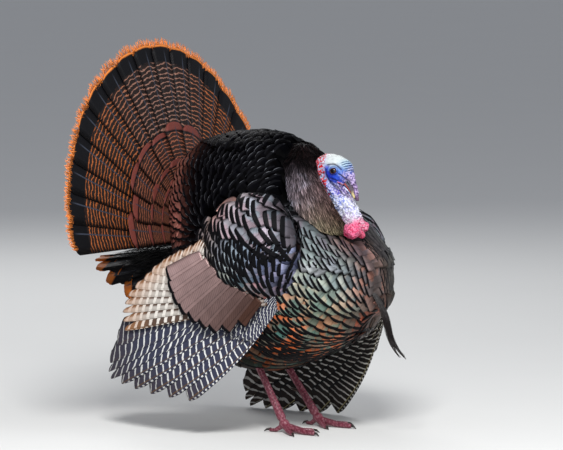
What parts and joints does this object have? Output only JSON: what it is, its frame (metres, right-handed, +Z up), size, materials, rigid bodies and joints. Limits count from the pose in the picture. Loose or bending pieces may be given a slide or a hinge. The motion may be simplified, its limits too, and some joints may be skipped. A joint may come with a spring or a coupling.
{
  "type": "wild turkey",
  "caption": "Life-size still model of a tom wild turkey in full strut, tail fanned, wings drooped, standing on both feet.",
  "frame": {"origin": "bottom centre of the bird's bounding box, on the floor it stands on", "axes": "+Z up, the bird faces -Y, its left side is +X"},
  "size_m": [0.767, 0.749, 0.7526],
  "materials": {
    "plumage": "iridescent body feathers, copper and green with black tips",
    "ruff": "fine brown-grey neck feathers with a pale sheen",
    "covert": "satin bronze wing coverts edged with black",
    "barred": "flight feathers barred dark and white",
    "tail": "black-brown barred chestnut, black band, rust tips",
    "beard": "coarse black bristles",
    "bare_skin": "moist warty skin, white crown, blue face, red and white neck",
    "wattle": "fleshy pink and red skin",
    "horn": "satin horn",
    "leg": "scaled maroon-pink skin",
    "eye": "glossy dark brown"
  },
  "bodies": {
    "root": {"trunk": "plumage", "neck_ruff": "ruff", "throat": "wattle", "head": "bare_skin", "bill_upper": "horn", "bill_lower": "horn", "snood": "wattle", "beard": "beard", "eye_right": "eye", "eye_left": "eye", "tail_fan": "tail", "tail_coverts": "tail", "undertail_coverts": "plumage", "wing_right_shoulder": "plumage", "wing_right_coverts": "covert", "wing_right_secondaries": "barred", "wing_right_primaries": "barred", "wing_left_shoulder": "plumage", "wing_left_coverts": "covert", "wing_left_secondaries": "barred", "wing_left_primaries": "barred", "foot_right": "leg", "shank_right": "leg", "spur_right": "horn", "claw_right_middle": "horn", "claw_right_inner": "horn", "claw_right_outer": "horn", "claw_right_hind": "horn", "foot_left": "leg", "shank_left": "leg", "spur_left": "horn", "claw_left_middle": "horn", "claw_left_inner": "horn", "claw_left_outer": "horn", "claw_left_hind": "horn"}
  },
  "joints": []
}
